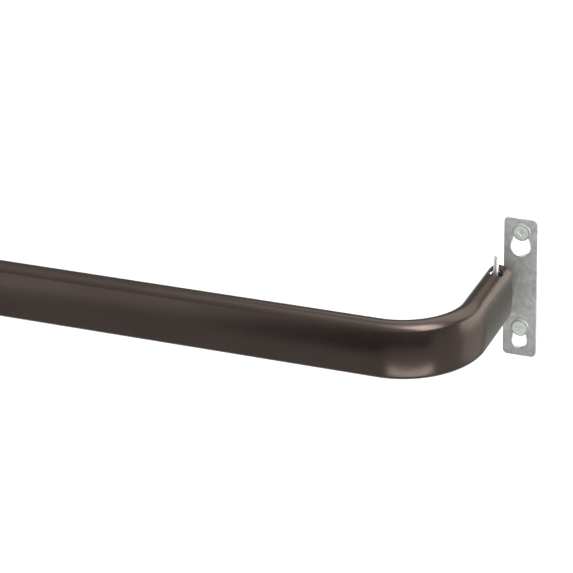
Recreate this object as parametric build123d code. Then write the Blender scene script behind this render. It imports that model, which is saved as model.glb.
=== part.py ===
from build123d import *
import math
import os

os.makedirs("parts", exist_ok=True)

# Wrap around curtain rod: two flat-oval steel tubes, one sliding inside the other.
# Each tube turns back to the wall and carries a screwed wall bracket.
# Millimetres. +X runs along the rod to the right end, +Y into the wall, +Z up.
# The origin lies on the wall face, midway between the two right-hand screws.

# Rod section
rod_height = 25.4            # the face that looks into the room
rod_depth = 11.3             # front face to back face
face_radius = 59.0           # long crown of the front and back faces
shoulder_radius = 0.9        # easing where a crowned face meets the round top or bottom
rod_wall = 0.8
slide_clearance = 0.3        # all round, between the inner and the outer tube
seam_width = 0.7             # lock seam down the middle of the back
seam_depth = 0.3
end_easing = 0.2             # deburred edge of a cut tube end

# Rod layout
projection = 72.0            # wall to the front face
travel = 508.0               # how far the left half draws out
open_overlap = 104.4         # length of tube still inside the other when drawn right out
end_gap = 14.0               # from a tube's cut end to the other tube's bend, when closed
bend_radius = 30.3           # to the middle of the tube
rod_drop = 7.2               # rod centre below the middle of the two screws

# Wall bracket, a zinc-plated stamping
plate_width = 14.4
plate_height = 63.3
plate_thickness = 1.6
plate_corner = 2.2
upper_screw_inset = 5.85     # upper screw below the top of the plate
lower_screw_inset = 13.55    # lower screw above the bottom of the plate
fold_radius = 0.8            # inside radius of every fold
tongue_length = 14.0         # forward of the plate, inside the tube
tongue_gap = 1.1             # above and below the tongue, in the bore of the slimmer tube
tongue_play = 0.08           # beside the tongue, in the same bore
relief_width = 1.0           # notch each side of the fold, and between the ears and the plate
ear_corner = 1.5
edge_easing = 0.2            # bevel that the punch leaves on the front of the plate

# Holes in the plate: a round entry that narrows upward to a neck for the screw
entry_radius = {"upper": 4.2, "lower": 3.3}
entry_to_screw = {"upper": 6.95, "lower": 6.75}
neck_radius = 2.35
seat_play = 0.05             # screw shank to the neck that hangs on it
seat_angle = 56.0            # degrees from straight up to where the shank bears on the neck

# Screws
screw_radius = 1.95          # outside the thread
thread_rise = 0.25           # thread above the plain shank that passes through the plate
screw_length = 12.7          # under the head
tip_length = 4.0
tip_radius = 0.35            # blunt end of the point
head_radius = 3.75
head_height = 1.5
head_easing = 0.6
recess_span = 3.4            # cross recess, tip to tip
recess_slot = 0.8
recess_depth = 0.5

# Lock pin, dropped through the top of the tube and both ears of the bracket
pin_radius = 1.05
pin_proud = 7.8              # above the top of the tube
pin_below = 0.3              # below the lower ear
pin_lean = 4.0               # degrees, towards the end of the rod
pin_offset = 0.2             # towards the end of the rod, at the top of the tube
pin_from_wall = 8.1
pin_fit = 0.1                # radial, in the ears
pin_crown = 0.5              # height of the rounded top
pin_foot_easing = 0.4
pin_hole_radius = 3.1        # in the tube
pin_hole_from_wall = 8.8
pin_hole_offset = 0.5        # towards the end of the rod

# Places worked out from the sizes above. Every piece is built at the right end.
inner_inset = rod_wall + slide_clearance
run_length = travel + open_overlap + end_gap
return_spacing = run_length + end_gap + 2 * bend_radius
rod_y = -projection + rod_depth / 2
rod_z = -rod_drop
rod_top = rod_z + rod_height / 2
shank_radius = screw_radius - thread_rise
seat_offset = neck_radius - shank_radius - seat_play
plate_middle = -seat_offset * math.sin(math.radians(seat_angle))
plate_edge = plate_middle - plate_width / 2
fold_zone = plate_thickness + fold_radius
tongue_height = rod_height - 2 * (inner_inset + rod_wall + tongue_gap)
web_height = tongue_height - 2 * fold_zone
ear_length = tongue_length - relief_width
screw_spacing = plate_height - upper_screw_inset - lower_screw_inset
screw_z = {"upper": screw_spacing / 2, "lower": -screw_spacing / 2}
plate_top = screw_z["upper"] + upper_screw_inset
standing = (Align.CENTER, Align.CENTER, Align.MIN)


def bore_room(height):
    """Half the depth of the slimmer tube's bore, at this height above or below its middle."""
    inset = inner_inset + rod_wall
    crown = math.sqrt((face_radius - inset) ** 2 - height**2) - face_radius + rod_depth / 2
    round_part = max(height - (rod_height - rod_depth) / 2, 0)
    return min(crown, math.sqrt((rod_depth / 2 - inset) ** 2 - round_part**2))


return_x = plate_edge + plate_thickness + tongue_play - bore_room(web_height / 2)
ear_tip = return_x - bore_room(tongue_height / 2) + tongue_play
pin_place = Pos(return_x + pin_offset, -pin_from_wall, rod_top) * Rot(0, pin_lean, 0)
pin_drop = rod_height / 2 + tongue_height / 2 + pin_below
pin_reach = pin_drop / math.cos(math.radians(pin_lean))


def to_left(piece):
    """The same piece at the left end, as a mirror image."""
    return mirror(piece, about=Plane.YZ.offset(return_x - return_spacing / 2))


def rod_outline(inset, easing=0.0):
    """Flat-oval outline, shrunk evenly by inset: a slot trimmed by two long crowned faces."""
    slot = SlotOverall(rod_height - 2 * inset, rod_depth - 2 * inset, rotation=90)
    crown = Circle(face_radius - inset)
    crown_centre = face_radius - rod_depth / 2
    outline = slot & (Pos(crown_centre, 0) * crown) & (Pos(-crown_centre, 0) * crown)
    if easing > 0:
        outline = fillet(outline.vertices(), easing)
    return outline


def bent_bar(outline, stand_off):
    """Solid bar of the outline: the run, the quarter bend and the return towards the plate."""
    bend_x = return_x - bend_radius
    bend_y = rod_y + bend_radius
    turn = Axis((bend_x, bend_y, rod_z), (0, 0, 1))
    section = Plane(origin=(bend_x, rod_y, rod_z), x_dir=(0, 1, 0), z_dir=(1, 0, 0)) * outline
    run = extrude(section, -run_length)
    bend = revolve(section, turn, 90)
    back = extrude(section.rotate(turn, 90), -plate_thickness - stand_off - bend_y, dir=(0, 1, 0))
    return run + bend + back


def bent_tube(inset, stand_off=0.0):
    """Tube open at both ends, with the lock seam in its back and a pin hole in its top."""
    body = bent_bar(rod_outline(inset, shoulder_radius), stand_off)
    bore = bent_bar(rod_outline(inset + rod_wall), stand_off)
    cut_face = body.faces().sort_by(Axis.X)[0]
    body = chamfer(cut_face.edges(), end_easing)
    seam = Pos(rod_depth / 2 - inset, 0) * Rectangle(2 * seam_depth, seam_width)
    drill = Cylinder(pin_hole_radius, rod_height, align=standing)
    pin_hole = Pos(return_x + pin_hole_offset, -pin_hole_from_wall, rod_z) * drill
    return body - bore - bent_bar(seam, stand_off) - pin_hole


def teardrop(name):
    """Opening for one screw: a round entry with straight sides up to the neck."""
    entry_z = screw_z[name] - entry_to_screw[name]
    neck_z = screw_z[name] - seat_offset * math.cos(math.radians(seat_angle))
    entry = Pos(plate_middle, entry_z) * Circle(entry_radius[name])
    neck = Pos(plate_middle, neck_z) * Circle(neck_radius)
    return make_hull(entry.edges() + neck.edges())


def folded_strip(plane, corners, width):
    """Sheet folded round the given corners, width across."""
    middle = FilletPolyline(*corners, radius=fold_radius + plate_thickness / 2)
    return extrude(plane * trace(middle, plate_thickness), width / 2, both=True)


def make_bracket():
    """Wall plate with a web folded forward into the tube and an ear above and below it."""
    plate_z = plate_top - plate_height / 2
    outline = Pos(plate_middle, plate_z) * RectangleRounded(plate_width, plate_height, plate_corner)
    face = outline - teardrop("upper") - teardrop("lower")
    plate = extrude(Plane.XZ * face, plate_thickness)
    plate = chamfer(plate.faces().sort_by(Axis.Y)[0].edges(), edge_easing)

    notch = Box(2 * fold_zone, 3 * plate_thickness, web_height + 2 * relief_width)
    plate -= Pos(plate_edge, 0, rod_z) * notch

    web_x = plate_edge + plate_thickness / 2
    web_front = -plate_thickness - tongue_length
    level = Plane.XY.offset(rod_z)
    web_corners = [
        (web_x, web_front),
        (web_x, -plate_thickness / 2),
        (plate_edge + 2 * fold_zone, -plate_thickness / 2),
    ]
    web = folded_strip(level, web_corners, web_height)

    ear_z = (tongue_height - plate_thickness) / 2
    ear_corners = [
        (ear_tip, rod_z + ear_z),
        (web_x, rod_z + ear_z),
        (web_x, rod_z - ear_z),
        (ear_tip, rod_z - ear_z),
    ]
    ears = folded_strip(Plane.XZ.offset(-web_front - ear_length / 2), ear_corners, ear_length)
    tip_edges = ears.edges().filter_by(Axis.Z).group_by(Axis.X)[0]
    ears = fillet(tip_edges, ear_corner)
    pin_way = pin_place * Cylinder(pin_radius + pin_fit, 4 * tongue_height)
    return plate + web + ears - pin_way


def make_lock_pin():
    """Plain steel pin with a rounded top and an eased foot."""
    shoulder = pin_proud - pin_crown
    crown_radius = (pin_radius**2 + pin_crown**2) / (2 * pin_crown)
    crown = RadiusArc((0, pin_proud), (pin_radius, shoulder), crown_radius)
    sides = Polyline(
        (pin_radius, shoulder),
        (pin_radius, pin_foot_easing - pin_reach),
        (pin_radius - pin_foot_easing, -pin_reach),
        (0, -pin_reach),
        (0, pin_proud),
    )
    return pin_place * revolve(Plane.XZ * make_face(crown + sides), Axis.Z)


def make_screw(name):
    """Low pan-head screw: eased head, cross recess, plain shank, threaded length and point."""
    head_top = -plate_thickness - head_height
    shank_end = -plate_thickness + screw_length
    profile = make_face(
        Polyline(
            (0, head_top),
            (head_radius, head_top),
            (head_radius, -plate_thickness),
            (shank_radius, -plate_thickness),
            (shank_radius, 0),
            (screw_radius, 0),
            (screw_radius, shank_end - tip_length),
            (tip_radius, shank_end),
            (0, shank_end),
            close=True,
        )
    )
    rim = profile.vertices().sort_by_distance((head_radius, head_top, 0))[0]
    screw = revolve(chamfer(rim, head_easing), Axis.Y)
    cross = Rectangle(recess_span, recess_slot) + Rectangle(recess_slot, recess_span)
    recess = extrude(Plane.XZ.offset(-head_top) * cross, -recess_depth)
    return Pos(0, 0, screw_z[name]) * (screw - recess)


right_end = {
    "bracket": make_bracket(),
    "lock_pin": make_lock_pin(),
    "upper_screw": make_screw("upper"),
    "lower_screw": make_screw("lower"),
}

export_step(bent_tube(0), "parts/outer_rod.step")
export_step(to_left(bent_tube(inner_inset, fold_radius + tongue_play)), "parts/inner_rod.step")
for name, piece in right_end.items():
    export_step(piece, f"parts/right_{name}.step")
    export_step(to_left(piece), f"parts/left_{name}.step")
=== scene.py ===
from math import asin, atan2, cos, pi, radians, sin, sqrt
import bmesh
import bpy
from mathutils import Matrix, Vector


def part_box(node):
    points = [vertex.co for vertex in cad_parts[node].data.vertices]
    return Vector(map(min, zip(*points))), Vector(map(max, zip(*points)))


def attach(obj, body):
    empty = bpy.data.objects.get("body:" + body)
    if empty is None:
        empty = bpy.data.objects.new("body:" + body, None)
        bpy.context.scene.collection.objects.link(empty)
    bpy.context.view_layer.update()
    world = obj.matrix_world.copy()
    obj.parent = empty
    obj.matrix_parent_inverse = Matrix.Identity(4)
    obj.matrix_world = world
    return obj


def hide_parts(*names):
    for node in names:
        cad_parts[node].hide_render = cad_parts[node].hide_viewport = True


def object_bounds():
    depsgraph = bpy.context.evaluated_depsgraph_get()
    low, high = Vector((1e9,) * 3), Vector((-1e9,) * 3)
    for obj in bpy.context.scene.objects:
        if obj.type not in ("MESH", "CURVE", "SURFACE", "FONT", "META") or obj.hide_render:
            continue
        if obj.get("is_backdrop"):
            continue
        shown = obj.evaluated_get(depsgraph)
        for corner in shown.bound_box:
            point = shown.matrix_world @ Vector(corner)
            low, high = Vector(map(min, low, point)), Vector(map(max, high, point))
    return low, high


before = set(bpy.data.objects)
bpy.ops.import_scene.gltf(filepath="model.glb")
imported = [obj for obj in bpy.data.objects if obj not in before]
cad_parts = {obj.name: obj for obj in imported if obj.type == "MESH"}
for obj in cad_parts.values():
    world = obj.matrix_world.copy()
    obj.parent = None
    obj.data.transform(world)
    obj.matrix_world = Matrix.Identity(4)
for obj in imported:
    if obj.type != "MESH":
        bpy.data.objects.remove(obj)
cad_low, cad_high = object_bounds()

# The wide tube, the right half of the rod. A strip of 0.8 mm steel is rolled to a flat oval with
# gently crowned faces, its two edges lock in a seam down the back, and the tube is bent round to
# the wall. It is stove-enamelled satin dark bronze, then cut and drilled, so the cuts are bare.
tube_wall = 0.0008
oval_height = 0.0254
oval_depth = 0.0113
crown_radius = 0.059
shoulder_radius = 0.0009
seam_width = 0.0007
seam_depth = 0.0003
cut_easing = 0.0002
bend_radius = 0.0303
bend_steps = 56
crown_steps = 8
shoulder_steps = 6
round_steps = 12
drill_sides = 72
merge_distance = 1e-6
smooth_angle = radians(30.0)
pin_hole_radius = 0.0031
pin_hole_offset = 0.0005
pin_hole_from_wall = 0.0088
enamel_bronze = (0.034, 0.0255, 0.0225, 1.0)
enamel_bronze_worn = (0.040, 0.030, 0.0265, 1.0)
bare_steel_dark = (0.32, 0.31, 0.30, 1.0)
bare_steel_grey = (0.44, 0.43, 0.42, 1.0)
half_bare_grey = (0.14, 0.135, 0.13, 1.0)


def new_material(name):
    """Material with an emptied node tree, its shader and the object's coordinates."""
    material = bpy.data.materials.new(name)
    material.use_nodes = True
    nodes = material.node_tree.nodes
    nodes.clear()
    out = nodes.new("ShaderNodeOutputMaterial")
    shader = nodes.new("ShaderNodeBsdfPrincipled")
    material.node_tree.links.new(shader.outputs["BSDF"], out.inputs["Surface"])
    place = nodes.new("ShaderNodeTexCoord")
    return material, shader, place


def add_noise(material, place, scale, detail, stretch=(1.0, 1.0, 1.0)):
    """Noise on the object's coordinates, stretched along an axis where stretch is under one."""
    tree = material.node_tree
    mapping = tree.nodes.new("ShaderNodeMapping")
    mapping.inputs["Scale"].default_value = stretch
    noise = tree.nodes.new("ShaderNodeTexNoise")
    noise.inputs["Scale"].default_value = scale
    noise.inputs["Detail"].default_value = detail
    tree.links.new(place.outputs["Object"], mapping.inputs["Vector"])
    tree.links.new(mapping.outputs["Vector"], noise.inputs["Vector"])
    return noise.outputs["Fac"]


def add_ramp(material, value, stops):
    """Colour ramp read by a value, through stops of (position, colour or grey level)."""
    tree = material.node_tree
    ramp = tree.nodes.new("ShaderNodeValToRGB")
    while len(ramp.color_ramp.elements) < len(stops):
        ramp.color_ramp.elements.new(0.5)
    for element, (position, colour) in zip(ramp.color_ramp.elements, stops):
        element.position = position
        element.color = colour if isinstance(colour, tuple) else (colour, colour, colour, 1.0)
    tree.links.new(value, ramp.inputs["Fac"])
    return ramp.outputs["Color"]


def add_bump(material, shader, height, strength, distance):
    """Bump from a height texture onto the shader's normal."""
    tree = material.node_tree
    bump = tree.nodes.new("ShaderNodeBump")
    bump.inputs["Strength"].default_value = strength
    bump.inputs["Distance"].default_value = distance
    tree.links.new(height, bump.inputs["Height"])
    tree.links.new(bump.outputs["Normal"], shader.inputs["Normal"])


def make_enamel():
    """Satin metallic enamel: dark bronze, faint clouding, fine orange peel."""
    material, shader, place = new_material("dark_bronze_enamel")
    tree = material.node_tree
    cloud = add_noise(material, place, scale=60.0, detail=4.0, stretch=(0.5, 1.0, 1.0))
    tint = add_ramp(material, cloud, [(0.35, enamel_bronze), (0.7, enamel_bronze_worn)])
    tree.links.new(tint, shader.inputs["Base Color"])
    sheen = add_noise(material, place, scale=140.0, detail=5.0, stretch=(0.35, 1.0, 1.0))
    gloss = add_ramp(material, sheen, [(0.3, 0.21), (0.72, 0.26)])
    tree.links.new(gloss, shader.inputs["Roughness"])
    peel = add_noise(material, place, scale=1500.0, detail=3.0)
    add_bump(material, shader, peel, strength=0.12, distance=0.00004)
    shader.inputs["Metallic"].default_value = 0.85
    shader.inputs["Specular Tint"].default_value = (0.485, 0.49, 0.47, 1.0)
    return material


def make_bare_steel():
    """Bright edge of cut steel with fine saw lines."""
    material, shader, place = new_material("bare_cut_steel")
    tree = material.node_tree
    lines = add_noise(material, place, scale=900.0, detail=3.0, stretch=(1.0, 1.0, 0.15))
    tint = add_ramp(material, lines, [(0.3, bare_steel_dark), (0.7, bare_steel_grey)])
    tree.links.new(tint, shader.inputs["Base Color"])
    rough = add_ramp(material, lines, [(0.3, 0.30), (0.7, 0.42)])
    tree.links.new(rough, shader.inputs["Roughness"])
    add_bump(material, shader, lines, strength=0.2, distance=0.00003)
    shader.inputs["Metallic"].default_value = 1.0
    return material


def make_pierced_edge():
    """Wall of a punched hole, half covered by the enamel that crept into it."""
    material, shader, place = new_material("pierced_edge")
    tree = material.node_tree
    patches = add_noise(material, place, scale=1800.0, detail=3.0)
    tint = add_ramp(material, patches, [(0.4, enamel_bronze), (0.65, half_bare_grey)])
    tree.links.new(tint, shader.inputs["Base Color"])
    rough = add_ramp(material, patches, [(0.3, 0.42), (0.7, 0.52)])
    tree.links.new(rough, shader.inputs["Roughness"])
    add_bump(material, shader, patches, strength=0.2, distance=0.00003)
    shader.inputs["Metallic"].default_value = 0.9
    return material


def finish_piece(bm, name, materials, sharp_angle=smooth_angle):
    """Mesh object from a bmesh, smooth-shaded up to the sharp angle."""
    mesh = bpy.data.meshes.new(name)
    bm.to_mesh(mesh)
    bm.free()
    for material in materials:
        mesh.materials.append(material)
    mesh.shade_smooth()
    mesh.set_sharp_from_angle(angle=sharp_angle)
    piece = bpy.data.objects.new(name, mesh)
    bpy.context.scene.collection.objects.link(piece)
    return piece


def cut_away(piece, cutter):
    """Takes the cutter's shape out of the piece, for good, and removes the cutter."""
    tool = piece.modifiers.new("cut", "BOOLEAN")
    tool.operation = "DIFFERENCE"
    tool.solver = "EXACT"
    tool.material_mode = "TRANSFER"
    tool.object = cutter
    depsgraph = bpy.context.evaluated_depsgraph_get()
    cut = bpy.data.meshes.new_from_object(piece.evaluated_get(depsgraph))
    piece.modifiers.clear()
    piece.data = cut
    bpy.data.objects.remove(cutter)
    cut.set_sharp_from_angle(angle=smooth_angle)


def last_of(result, kind):
    """The verts or edges that a bmesh operator made last."""
    return [e for e in result["geom_last"] if isinstance(e, kind)]


def extend(bm, edges, vec, scale=(1, 1, 1)):
    """Carries an open edge on by vec, scaled about the origin first; gives the new edge."""
    grown = bmesh.ops.extrude_edge_only(bm, edges=edges)["geom"]
    verts = [e for e in grown if isinstance(e, bmesh.types.BMVert)]
    bmesh.ops.scale(bm, verts=verts, vec=scale)
    bmesh.ops.translate(bm, verts=verts, vec=vec)
    return [e for e in grown if isinstance(e, bmesh.types.BMEdge)]


def oval_outline(bm, inset, easing, seam):
    """Closed outline of the oval round the origin, in the YZ plane, shrunk evenly by inset."""
    crown_centre = Vector((0, crown_radius - oval_depth / 2, 0))
    round_centre = Vector((0, 0, (oval_height - oval_depth) / 2))
    crown = crown_radius - inset
    end_round = oval_depth / 2 - inset
    # the middle of the shoulder's arc, which touches the crowned face and the round end
    apart = (round_centre - crown_centre).length
    along = ((crown - easing) ** 2 - (end_round - easing) ** 2 + apart**2) / (2 * apart)
    aside = sqrt((crown - easing) ** 2 - along**2)
    way = (round_centre - crown_centre) / apart
    shoulder = crown_centre + way * along + Vector((0, way.z, -way.y)) * aside
    leave_crown = atan2(shoulder.z, crown_centre.y - shoulder.y)
    meet_round = atan2(shoulder.z - round_centre.z, -shoulder.y)
    start = asin(seam_width / 2 / crown)
    first = bm.verts.new(crown_centre + crown * Vector((0, -cos(start), sin(start))))
    arcs = (
        (crown_centre, leave_crown - start, crown_steps),
        (shoulder, meet_round - leave_crown, shoulder_steps),
        (round_centre, pi / 2 - meet_round, round_steps),
    )
    tip = [first]
    for centre, angle, steps in arcs:
        if angle > 0 and (centre != shoulder or easing > 0):
            turned = bmesh.ops.spin(
                bm, geom=tip, cent=centre, axis=(-1, 0, 0), angle=angle, steps=steps
            )
            tip = last_of(turned, bmesh.types.BMVert)
    bmesh.ops.mirror(bm, geom=bm.verts[:] + bm.edges[:], axis="Z")
    bmesh.ops.mirror(bm, geom=bm.verts[:] + bm.edges[:], axis="Y")
    bmesh.ops.remove_doubles(bm, verts=bm.verts, dist=merge_distance)
    # the four loose ends, which stand half a seam from the middle
    by_seam = [v for v in bm.verts if abs(v.co.z) < 0.6 * seam_width]
    front = [v for v in by_seam if v.co.y < 0]
    back = [v for v in by_seam if v.co.y > 0]
    bmesh.ops.contextual_create(bm, geom=front)
    if seam:
        back = bmesh.ops.extrude_vert_indiv(bm, verts=back)["verts"]
        bmesh.ops.translate(bm, verts=back, vec=(0, -seam_depth, 0))
    bmesh.ops.contextual_create(bm, geom=back)


def bent_tube(name, node, inset, left, materials):
    """Tube of the oval outline: the run, the quarter bend and the return to the wall."""
    low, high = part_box(node)
    # everything is built at the right-hand end; the left-hand tube is turned over at the end
    reach = high.x - low.x
    return_x = inset - oval_depth / 2
    run_y = low.y + oval_depth / 2 - inset
    level = (low.z + high.z) / 2
    bend_at = Vector((return_x - bend_radius, run_y + bend_radius, level))
    bm = bmesh.new()
    for inner in (False, True):
        skin = bmesh.new()
        wall = inset + tube_wall if inner else inset
        oval_outline(skin, wall, 0.0 if inner else shoulder_radius, not inner)
        lip = 0.0 if inner else cut_easing
        slimmer = Vector((1, 1 - lip / (oval_depth / 2 - wall), 1 - lip / (oval_height / 2 - wall)))
        bmesh.ops.scale(skin, verts=skin.verts, vec=slimmer)
        edge = skin.edges[:]
        if lip > 0:
            edge = extend(skin, edge, (lip, 0, 0), (1, 1 / slimmer.y, 1 / slimmer.z))
        bmesh.ops.translate(skin, verts=skin.verts, vec=(-reach, run_y, level))
        edge = extend(skin, edge, (reach + bend_at.x - lip, 0, 0))
        turned = bmesh.ops.spin(
            skin, geom=edge + list({v for e in edge for v in e.verts}), cent=bend_at,
            axis=(0, 0, 1), angle=pi / 2, steps=bend_steps,
        )
        extend(skin, last_of(turned, bmesh.types.BMEdge), (0, high.y - bend_at.y, 0))
        scrap = bpy.data.meshes.new("scrap")
        skin.to_mesh(scrap)
        skin.free()
        bm.from_mesh(scrap)
        bpy.data.meshes.remove(scrap)
    open_ends = [e for e in bm.edges if e.is_boundary]
    at_wall = [e for e in open_ends if e.verts[0].co.x > bend_at.x]
    at_cut = [e for e in open_ends if e.verts[0].co.x < bend_at.x]
    for rims in (at_wall, at_cut):
        ring = bmesh.ops.triangle_fill(bm, edges=rims, use_beauty=True)
        for face in ring["geom"]:
            if isinstance(face, bmesh.types.BMFace):
                face.material_index = 1
    bmesh.ops.recalc_face_normals(bm, faces=bm.faces)
    if left:
        bmesh.ops.scale(bm, verts=bm.verts, vec=(-1, 1, 1))
        bmesh.ops.reverse_faces(bm, faces=bm.faces)
        bmesh.ops.translate(bm, verts=bm.verts, vec=(low.x, 0, 0))
    else:
        bmesh.ops.translate(bm, verts=bm.verts, vec=(high.x, 0, 0))
    piece = finish_piece(bm, name, materials)
    # the lock pin's hole, drilled down through the top of the return
    drill = bmesh.new()
    bmesh.ops.create_cone(
        drill, cap_ends=True, segments=drill_sides, depth=oval_height / 2,
        radius1=pin_hole_radius, radius2=pin_hole_radius,
    )
    side = -1 if left else 1
    end_x = low.x if left else high.x
    hole_x = end_x + side * (return_x + pin_hole_offset)
    bmesh.ops.translate(
        drill, verts=drill.verts, vec=(hole_x, -pin_hole_from_wall, level + oval_height / 2)
    )
    for face in drill.faces:
        face.material_index = 2
    cut_away(piece, finish_piece(drill, "pin_drill", materials))
    return piece


enamel = make_enamel()
bare_steel = make_bare_steel()
pierced_edge = make_pierced_edge()
rod_finishes = [enamel, bare_steel, pierced_edge]
wide_tube = bent_tube("wide_tube", "outer_rod", 0.0, False, rod_finishes)
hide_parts("outer_rod")
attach(wide_tube, "right_half")

# The slim tube, the left half of the rod. It is the same rolled and seamed strip, 1.1 mm smaller
# all round, so that it slides inside the wide tube, and it has the same bronze enamel.
slim_inset = 0.0011
slim_tube = bent_tube("slim_tube", "inner_rod", slim_inset, True, rod_finishes)
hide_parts("inner_rod")
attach(slim_tube, "left_half")

# The wall brackets, punched and folded from 1.6 mm steel strip and dull zinc-plated. Each plate
# has two drop-on openings for its screws, and a folded tongue that goes into the tube's end.
zinc_dark = (0.345, 0.345, 0.335, 1.0)
zinc_mid = (0.415, 0.415, 0.405, 1.0)
zinc_pale = (0.50, 0.50, 0.49, 1.0)
# how much painted light brightens the plate up its height, from its foot to its top, standing in
# for the light from above
plate_foot = -0.035
plate_head = 0.027
plate_painted_light_levels = ((0.0, 0.49), (0.25, 0.67), (0.55, 0.71), (0.75, 0.82), (1.0, 1.0))
crystal_share = 0.22
# how dark the painted shade inside the tube's end makes the tongue, and where it fades out, just in
# front of the plate's face
tube_inside_painted_shade = 0.12
painted_shade_full = -0.0019
painted_shade_none = -0.0016
# where the ears' back corners lie, and how far they are carried on towards the plate
ear_corners_front = -0.0042
ear_corners_back = -0.0018
ear_reach = 0.00085
web_half = 0.0074
plate_fold_angle = radians(26.0)
flat_angle = radians(0.5)
loose_gap = 2e-6


def add_mix(material, first, second, share, blend):
    """Second colour laid over the first by the share and the kind of blend given."""
    tree = material.node_tree
    mix = tree.nodes.new("ShaderNodeMix")
    mix.data_type = "RGBA"
    mix.blend_type = blend
    mix.inputs["Factor"].default_value = share
    tree.links.new(first, mix.inputs["A"])
    tree.links.new(second, mix.inputs["B"])
    return mix.outputs["Result"]


def add_range(material, value, start, end, least=0.0):
    """The value between start and end as a level between least and one."""
    tree = material.node_tree
    span = tree.nodes.new("ShaderNodeMapRange")
    span.inputs["From Min"].default_value = start
    span.inputs["From Max"].default_value = end
    span.inputs["To Min"].default_value = least
    tree.links.new(value, span.inputs["Value"])
    return span.outputs["Result"]


def make_zinc():
    """Dull zinc plate: mottled, with small crystals, painted light brightening it upward, painted
    shade darkening its tongue.
    """
    material, shader, place = new_material("dull_zinc_plate")
    tree = material.node_tree
    cloud = add_noise(material, place, scale=320.0, detail=6.0)
    crystals = tree.nodes.new("ShaderNodeTexVoronoi")
    crystals.inputs["Scale"].default_value = 620.0
    tree.links.new(place.outputs["Object"], crystals.inputs["Vector"])
    mottle = add_mix(material, cloud, crystals.outputs["Color"], crystal_share, "MIX")
    tint = add_ramp(material, mottle, [(0.32, zinc_dark), (0.5, zinc_mid), (0.7, zinc_pale)])
    spot = tree.nodes.new("ShaderNodeSeparateXYZ")
    tree.links.new(place.outputs["Object"], spot.inputs["Vector"])
    # painted shade: everything in front of the plate's face, inside the tube's end, is darkened
    tongue_painted_shade = add_range(material, spot.outputs["Y"], painted_shade_full, painted_shade_none, tube_inside_painted_shade)
    # painted light: the plate is made brighter toward its top
    rise = add_range(material, spot.outputs["Z"], plate_foot, plate_head)
    painted_light_up_plate = add_ramp(material, rise, plate_painted_light_levels)
    zinc_tint_with_painted_light = add_mix(material, tint, painted_light_up_plate, 1.0, "MULTIPLY")
    shaded = add_mix(material, zinc_tint_with_painted_light, tongue_painted_shade, 1.0, "MULTIPLY")
    tree.links.new(shaded, shader.inputs["Base Color"])
    # the painted shade dims the tongue's reflections as well
    tree.links.new(tongue_painted_shade, shader.inputs["Specular Tint"])
    rubbed = add_noise(material, place, scale=420.0, detail=6.0, stretch=(1.0, 1.0, 0.3))
    rough = add_ramp(material, rubbed, [(0.3, 0.38), (0.7, 0.48)])
    tree.links.new(rough, shader.inputs["Roughness"])
    add_bump(material, shader, rubbed, strength=0.14, distance=0.00004)
    shader.inputs["Metallic"].default_value = 0.8
    return material


zinc = make_zinc()
tube_low, tube_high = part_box("outer_rod")
tube_level = (tube_low.z + tube_high.z) / 2
for side in ("right", "left"):
    plated = bmesh.new()
    plated.from_mesh(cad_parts[side + "_bracket"].data)
    bmesh.ops.remove_doubles(plated, verts=plated.verts, dist=loose_gap)
    bmesh.ops.dissolve_limit(
        plated, angle_limit=flat_angle, verts=plated.verts, edges=plated.edges
    )
    # the ears run back almost to the plate, and close the tube's end to the eye
    for vert in plated.verts:
        beyond_web = abs(vert.co.z - tube_level) > web_half
        if beyond_web and ear_corners_front < vert.co.y < ear_corners_back:
            vert.co.y += ear_reach
    for face in plated.faces:
        face.material_index = 0
    bracket = finish_piece(plated, side + "_wall_bracket", [zinc], plate_fold_angle)
    # the satin enamel beside it shows no image of it
    bracket.visible_glossy = False
    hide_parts(side + "_bracket")
    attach(bracket, side + "_half")

# The lock pins, drawn steel wire with a rounded top, dropped through the hole in the tube and
# both ears of the bracket. They lean a little towards the end of the rod.
pin_radius = 0.00105
pin_crown = 0.0005
pin_foot_easing = 0.0004
pin_lean = radians(4.0)
pin_crown_steps = 8
pin_sides = 40
wire_dull = (0.55, 0.55, 0.55, 1.0)
wire_bright = (0.66, 0.66, 0.65, 1.0)


def make_pin_steel():
    """Bright drawn wire, with faint lines along it."""
    material, shader, place = new_material("bright_drawn_wire")
    tree = material.node_tree
    lines = add_noise(material, place, scale=1600.0, detail=2.0, stretch=(1.0, 1.0, 0.06))
    tint = add_ramp(material, lines, [(0.3, wire_dull), (0.7, wire_bright)])
    tree.links.new(tint, shader.inputs["Base Color"])
    rough = add_ramp(material, lines, [(0.3, 0.34), (0.7, 0.44)])
    tree.links.new(rough, shader.inputs["Roughness"])
    add_bump(material, shader, lines, strength=0.15, distance=0.00002)
    shader.inputs["Metallic"].default_value = 0.75
    shader.inputs["Specular Tint"].default_value = (0.45, 0.45, 0.45, 1.0)
    return material


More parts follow.
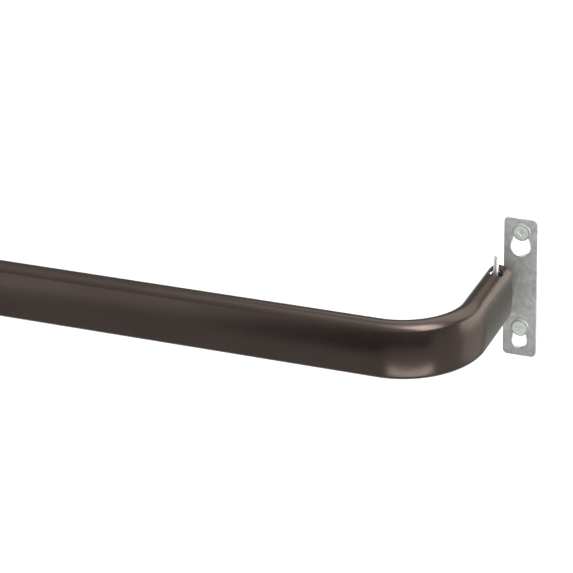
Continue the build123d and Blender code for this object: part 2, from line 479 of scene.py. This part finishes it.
pin_steel = make_pin_steel()
for side, way in (("right", 1), ("left", -1)):
    low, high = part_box(side + "_lock_pin")
    length = (high.z - low.z - pin_radius * sin(pin_lean)) / cos(pin_lean)
    dome_radius = (pin_radius**2 + pin_crown**2) / (2 * pin_crown)
    wire = bmesh.new()
    top = wire.verts.new((0, 0, 0))
    arc = bmesh.ops.spin(
        wire, geom=[top], cent=(0, 0, -dome_radius), axis=(0, 1, 0),
        angle=asin(pin_radius / dome_radius), steps=pin_crown_steps,
    )
    tip = last_of(arc, bmesh.types.BMVert)
    for step in (
        Vector((0, 0, -(length - pin_crown - pin_foot_easing))),
        Vector((-pin_foot_easing, 0, -pin_foot_easing)),
        Vector((-(pin_radius - pin_foot_easing), 0, 0)),
    ):
        tip = bmesh.ops.extrude_vert_indiv(wire, verts=tip)["verts"]
        bmesh.ops.translate(wire, verts=tip, vec=step)
    bmesh.ops.spin(
        wire, geom=wire.verts[:] + wire.edges[:], cent=(0, 0, 0), axis=(0, 0, 1),
        angle=2 * pi, steps=pin_sides, use_merge=True,
    )
    bmesh.ops.remove_doubles(wire, verts=wire.verts, dist=merge_distance)
    bmesh.ops.recalc_face_normals(wire, faces=wire.faces)
    top_x = high.x - pin_radius if way > 0 else low.x + pin_radius
    bmesh.ops.transform(
        wire, verts=wire.verts,
        matrix=Matrix.Translation((top_x, (low.y + high.y) / 2, high.z))
        @ Matrix.Rotation(way * pin_lean, 4, "Y"),
    )
    pin = finish_piece(wire, side + "_lock_pin_wire", [pin_steel])
    # kept out of the enamel's reflections, as the bracket is
    pin.visible_glossy = False
    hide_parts(side + "_lock_pin")
    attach(pin, side + "_half")

# The four wall screws, 3.9 mm by 12.7 mm low pan heads with a shallow cross recess, rolled thread
# and a point, in pale zinc plate. Each hangs the bracket by the narrow top of its opening.
head_radius = 0.00375
head_height = 0.0015
head_easing = 0.0006
easing_steps = 6
screw_sides = 48
shank_radius = 0.0017
plain_length = 0.0018
thread_radius = 0.00195
thread_core = 0.00145
thread_run_out = 0.0003
thread_half_width = 0.0005
thread_foot = 0.96 * thread_core
thread_pitch = 0.0014
thread_steps = 24
tip_length = 0.0040
point_taper = 0.1
recess_span = 0.0034
recess_slot = 0.0008
recess_depth = 0.0005
recess_taper = (0.7, 1.0, 0.75)
screw_zinc_dull = (0.32, 0.34, 0.32, 1.0)
screw_zinc_pale = (0.42, 0.44, 0.42, 1.0)
# the darker zinc of the heads' rims, a painted shade round their edges
rim_shade_dull = (0.13, 0.14, 0.13, 1.0)
rim_shade_pale = (0.19, 0.20, 0.19, 1.0)


def make_screw_zinc(name, dull, pale):
    """Matt zinc, clouded between the two colours, with small dark specks."""
    material, shader, place = new_material(name)
    tree = material.node_tree
    cloud = add_noise(material, place, scale=700.0, detail=5.0)
    tint = add_ramp(material, cloud, [(0.3, dull), (0.65, pale)])
    tree.links.new(tint, shader.inputs["Base Color"])
    rough = add_ramp(material, cloud, [(0.3, 0.62), (0.7, 0.52)])
    tree.links.new(rough, shader.inputs["Roughness"])
    add_bump(material, shader, cloud, strength=0.15, distance=0.00003)
    shader.inputs["Metallic"].default_value = 0.45
    return material


def draw_to(bm, tip, radius, depth):
    """Carries a turned outline on from its tip, straight to the point given."""
    tip = bmesh.ops.extrude_vert_indiv(bm, verts=tip)["verts"]
    tip[0].co = (radius, depth, 0)
    return tip


screw_zinc = make_screw_zinc("pale_screw_zinc", screw_zinc_dull, screw_zinc_pale)
rim_painted_shade_zinc = make_screw_zinc("screw_rim_painted_shade", rim_shade_dull, rim_shade_pale)
for side in ("right", "left"):
    for rank in ("upper", "lower"):
        node = f"{side}_{rank}_screw"
        low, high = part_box(node)
        middle = (low + high) / 2
        under_head = low.y + head_height
        thread_start = under_head + plain_length
        blank = bmesh.new()
        tip = [blank.verts.new((0, low.y, 0))]
        tip = draw_to(blank, tip, head_radius - head_easing, low.y)
        arc = bmesh.ops.spin(
            blank, geom=tip, cent=(head_radius - head_easing, low.y + head_easing, 0),
            axis=(0, 0, 1), angle=pi / 2, steps=easing_steps,
        )
        tip = last_of(arc, bmesh.types.BMVert)
        for radius, depth in (
            (head_radius, under_head),
            (shank_radius, under_head),
            (shank_radius, thread_start),
            (thread_core, thread_start + thread_run_out),
            (thread_core, high.y - tip_length),
            (thread_core * point_taper, high.y),
            (0, high.y),
        ):
            tip = draw_to(blank, tip, radius, depth)
        bmesh.ops.spin(
            blank, geom=blank.verts[:] + blank.edges[:], cent=(0, 0, 0), axis=(0, 1, 0),
            angle=2 * pi, steps=screw_sides, use_merge=True,
        )
        bmesh.ops.remove_doubles(blank, verts=blank.verts, dist=merge_distance)
        bmesh.ops.recalc_face_normals(blank, faces=blank.faces)
        # the head's rim gets a darker zinc, a painted shade round the head's edge
        for face in blank.faces:
            centre = face.calc_center_median()
            if centre.xz.length > head_radius - head_easing and centre.y < under_head:
                face.material_index = 1
        bmesh.ops.translate(blank, verts=blank.verts, vec=(middle.x, 0, middle.z))
        screw = finish_piece(blank, node + "_driven", [screw_zinc, rim_painted_shade_zinc])
        for turn in (0, pi / 2):
            blade = bmesh.new()
            bmesh.ops.create_cube(blade, size=1.0)
            bmesh.ops.scale(
                blade, verts=blade.verts, vec=(recess_span, 2 * recess_depth, recess_slot)
            )
            deep = [v for v in blade.verts if v.co.y > 0]
            bmesh.ops.scale(blade, verts=deep, vec=recess_taper)
            bmesh.ops.rotate(blade, verts=blade.verts, matrix=Matrix.Rotation(turn, 3, "Y"))
            bmesh.ops.translate(blade, verts=blade.verts, vec=(middle.x, low.y, middle.z))
            cut_away(screw, finish_piece(blade, "driver_blade", [screw_zinc]))
        # the thread, a three-cornered ridge wound round the core and drawn in with the point
        bottom = thread_start + thread_half_width
        top = high.y - 2 * thread_half_width
        corners = (
            (thread_foot, bottom - thread_half_width),
            (thread_radius, bottom),
            (thread_foot, bottom + thread_half_width),
        )
        turns = (top - bottom) / thread_pitch
        ridge = bmesh.new()
        section = ridge.faces.new([ridge.verts.new((x, y, 0)) for x, y in corners])
        bmesh.ops.spin(
            ridge, geom=[section] + section.edges[:] + section.verts[:], cent=(0, 0, 0),
            axis=(0, 1, 0), dvec=(0, thread_pitch / thread_steps, 0), angle=2 * pi * turns,
            steps=round(turns * thread_steps),
        )
        for vert in ridge.verts:
            past = max(1 - (high.y - vert.co.y) / tip_length, 0)
            drawn_in = 1 - (1 - point_taper) * past
            vert.co.x *= drawn_in
            vert.co.z *= drawn_in
        bmesh.ops.recalc_face_normals(ridge, faces=ridge.faces)
        bmesh.ops.translate(ridge, verts=ridge.verts, vec=(middle.x, 0, middle.z))
        ridge.from_mesh(screw.data)
        ridge.to_mesh(screw.data)
        ridge.free()
        screw.data.set_sharp_from_angle(angle=smooth_angle)
        # kept out of the enamel's reflections, as the bracket is
        screw.visible_glossy = False
        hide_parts(node)
        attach(screw, side + "_half")

# The studio: a plain pale floor well below the rod, soft boxes over the front right and behind, and
# a room that is pale at the horizon and brighter overhead. The low boxes round the sides and the
# dark card do nothing but give the satin enamel something to reflect.
floor_level = cad_low.z - 0.25
floor_middle = -0.3
floor_half = 8.0
floor_grey = 0.45
floor_grey_cloud = 0.435
# the middle of the right-hand bend, which every soft box faces
bend_place = Vector((cad_high.x - 0.03, cad_low.y + 0.02, cad_high.z - 0.03))
card_grey = (0.03, 0.03, 0.03, 1.0)
card_top = ((-0.27, -0.51, -0.085), (0.03, -0.553, -0.085), (0.341, -0.305, -0.085))
card_foot = ((-0.27, -0.51, -0.265), (0.03, -0.553, -0.175), (0.341, -0.305, -0.160))
# strength of the room's light by height, from straight down through the horizon to straight up
room_strength = 6.0
room_levels = (
    (0.0, 0.12), (0.5, 0.12), (0.65, 0.15), (0.82, 0.21), (0.953, 0.30), (0.973, 0.50), (1.0, 1.0),
)


def make_floor():
    """Matt paper with faint unevenness, lit to white."""
    material, shader, place = new_material("pale_floor")
    tree = material.node_tree
    cloud = add_noise(material, place, scale=2.0, detail=3.0)
    tint = add_ramp(material, cloud, [(0.3, floor_grey_cloud), (0.7, floor_grey)])
    tree.links.new(tint, shader.inputs["Base Color"])
    shader.inputs["Roughness"].default_value = 0.9
    shader.inputs["Specular IOR Level"].default_value = 0.1
    return material


ground = bmesh.new()
bmesh.ops.create_grid(ground, x_segments=1, y_segments=1, size=floor_half)
bmesh.ops.translate(ground, verts=ground.verts, vec=(floor_middle, 0, floor_level))
floor = finish_piece(ground, "floor", [make_floor()])
floor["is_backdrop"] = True


def add_soft_box(name, way, distance, width, height, brightness):
    """Soft box seen from the bend along way, facing it, with the radiance given."""
    lamp = bpy.data.lights.new(name, "AREA")
    lamp.shape = "RECTANGLE"
    lamp.size = width
    lamp.size_y = height
    lamp.energy = brightness * pi * width * height
    holder = bpy.data.objects.new(name, lamp)
    holder.location = bend_place + Vector(way).normalized() * distance
    holder.rotation_mode = "QUATERNION"
    holder.rotation_quaternion = (bend_place - holder.location).to_track_quat("-Z", "Y")
    bpy.context.scene.collection.objects.link(holder)
    return holder


add_soft_box(
    "key_box", (0.416, -0.214, 0.884), distance=1.5, width=0.64, height=1.10, brightness=15.5
)
add_soft_box(
    "back_box", (0.20, 0.645, 0.742), distance=1.6, width=2.1, height=0.9, brightness=3.3
)
for low_box in (
    add_soft_box(
        "front_left_box", (-0.70, -0.71, -0.03), distance=0.9, width=0.74, height=0.48,
        brightness=1.5,
    ),
    add_soft_box(
        "right_box", (0.74, 0.67, 0.04), distance=0.8, width=1.15, height=0.62, brightness=6.3
    ),
    add_soft_box(
        "right_foot_box", (0.71, 0.50, -0.50), distance=0.45, width=0.30, height=0.13,
        brightness=1.8,
    ),
    add_soft_box(
        "strip_box", (0.32, -0.63, -0.70), distance=0.36, width=0.32, height=0.035,
        brightness=15.0,
    ),
):
    low_box.visible_diffuse = False
    low_box.visible_camera = False

# the card stands folded in front of the bend, out of shot, for the dark band below the crease
card = bmesh.new()
top_edge, foot_edge = [
    [card.verts.new(corner) for corner in corners] for corners in (card_top, card_foot)
]
for k in range(2):
    card.faces.new((top_edge[k], top_edge[k + 1], foot_edge[k + 1], foot_edge[k]))
card_black, card_shader, _ = new_material("dark_card")
card_shader.inputs["Base Color"].default_value = card_grey
card_shader.inputs["Roughness"].default_value = 0.9
dark_card = finish_piece(card, "dark_card", [card_black])
dark_card.visible_camera = False
dark_card.visible_diffuse = False
dark_card.visible_shadow = False
dark_card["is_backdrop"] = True

world = bpy.data.worlds.new("studio_room")
world.use_nodes = True
room = world.node_tree
sky = room.nodes["Background"]
seen = room.nodes.new("ShaderNodeTexCoord")
height = room.nodes.new("ShaderNodeSeparateXYZ")
room.links.new(seen.outputs["Generated"], height.inputs["Vector"])
rise = add_range(world, height.outputs["Z"], -1.0, 1.0)
room.links.new(add_ramp(world, rise, room_levels), sky.inputs["Color"])
sky.inputs["Strength"].default_value = room_strength
bpy.context.scene.world = world
bpy.context.scene.view_settings.view_transform = "Standard"

# The camera: a long lens to the right of the rod and above it, as the photograph was taken,
# rolled slightly, with everything in focus.
lens_mm = 146.06
camera_place = Vector((0.251087, -0.845203, 0.417181))
camera_azimuth = radians(22.958)
camera_elevation = radians(25.487)
camera_roll = radians(1.771)

forward = Vector((
    -sin(camera_azimuth) * cos(camera_elevation),
    cos(camera_azimuth) * cos(camera_elevation),
    -sin(camera_elevation),
))
level_right = Vector((cos(camera_azimuth), sin(camera_azimuth), 0))
level_down = forward.cross(level_right)
right = cos(camera_roll) * level_right + sin(camera_roll) * level_down
down = -sin(camera_roll) * level_right + cos(camera_roll) * level_down
lens = bpy.data.cameras.new("photo_camera")
lens.lens = lens_mm
lens.sensor_width = 36.0
lens.clip_start = 0.05
lens.clip_end = 50.0
camera = bpy.data.objects.new("photo_camera", lens)
turn = Matrix((right, -down, -forward)).transposed().to_4x4()
camera.matrix_world = Matrix.Translation(camera_place) @ turn
bpy.context.scene.collection.objects.link(camera)
bpy.context.scene.camera = camera

low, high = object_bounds()
